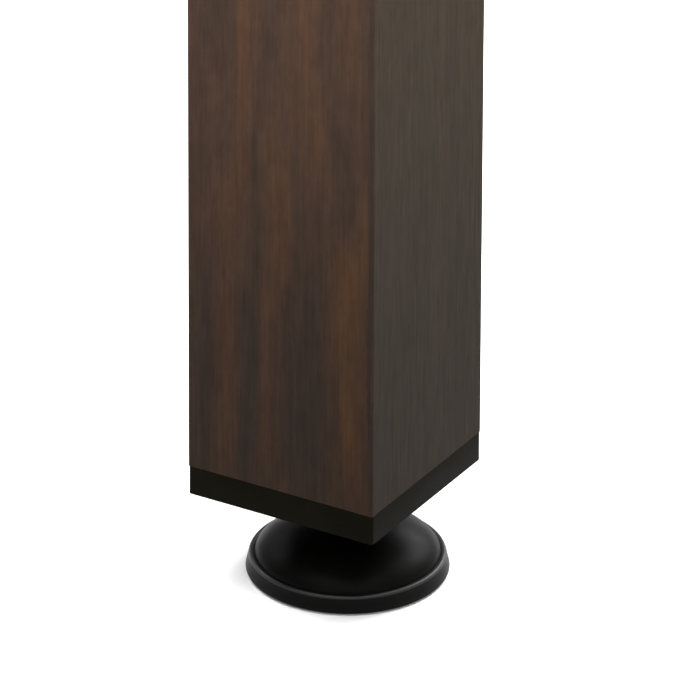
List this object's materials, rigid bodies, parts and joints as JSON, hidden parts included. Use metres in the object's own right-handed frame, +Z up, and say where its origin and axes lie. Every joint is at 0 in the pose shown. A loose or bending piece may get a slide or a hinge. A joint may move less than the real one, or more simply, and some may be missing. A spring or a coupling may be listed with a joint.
{
  "type": "furniture leveling foot",
  "caption": "Black domed tilting leveling foot on a threaded stem, set in the capped lower end of a square dark wood-grain furniture leg.",
  "frame": {"origin": "centre of the foot's underside, on the stem's axis, at floor level", "axes": "+Z up along the stem and the leg; the leg's faces look along X and Y, the warmer wood face along -Y and the greyer one along +X"},
  "size_m": [0.0517, 0.0508, 0.1768],
  "materials": {
    "core_wood": "sawn, glued up",
    "veneer_warm": "satin walnut stain",
    "veneer_grey": "satin walnut stain, greyer",
    "cap_plastic": "fine moulded grain",
    "foot_plastic": "satin moulded",
    "hex_steel": "black oxide",
    "zinc_steel": "zinc plated",
    "screw_steel": "black phosphate",
    "acetal": "smooth moulded",
    "washer_nylon": "smooth",
    "pad_rubber": "matte"
  },
  "bodies": {
    "leg": {"core_stave_left": "core_wood", "core_stave_middle": "core_wood", "core_stave_right": "core_wood", "veneer_front": "veneer_warm", "veneer_right": "veneer_grey", "veneer_back": "veneer_warm", "veneer_left": "veneer_grey", "end_cap": "cap_plastic", "cap_screws": "screw_steel", "threaded_insert": "zinc_steel", "insert_screws": "screw_steel"},
    "carriage": {"neck_washer": "washer_nylon"},
    "stem": {"threaded_stem": "zinc_steel", "hex_collar": "hex_steel"},
    "race": {"ball_race": "acetal"},
    "base": {"foot_base": "foot_plastic", "ball_socket": "acetal", "retaining_plate": "zinc_steel", "plate_screws": "screw_steel", "floor_pad": "pad_rubber"}
  },
  "joints": [
    {"name": "height", "type": "slide", "parent": "leg", "child": "carriage", "axis": [0, 0, -1], "range_m": [-0.004, 0.012]},
    {"name": "stem_turn", "type": "hinge", "parent": "carriage", "child": "stem", "pos_m": [0, 0, 0.009], "axis": [0, 0, -1], "range_deg": [-1152, 3456]},
    {"name": "tilt_side", "type": "hinge", "parent": "carriage", "child": "race", "pos_m": [0, 0, 0.009], "axis": [0, 1, 0], "range_deg": [-7, 7]},
    {"name": "tilt_front", "type": "hinge", "parent": "race", "child": "base", "pos_m": [0, 0, 0.009], "axis": [1, 0, 0], "range_deg": [-7, 7]}
  ],
  "couplings": [
    {"joint": "stem_turn", "follows": "height", "rad_per_m": 5026.5}
  ]
}
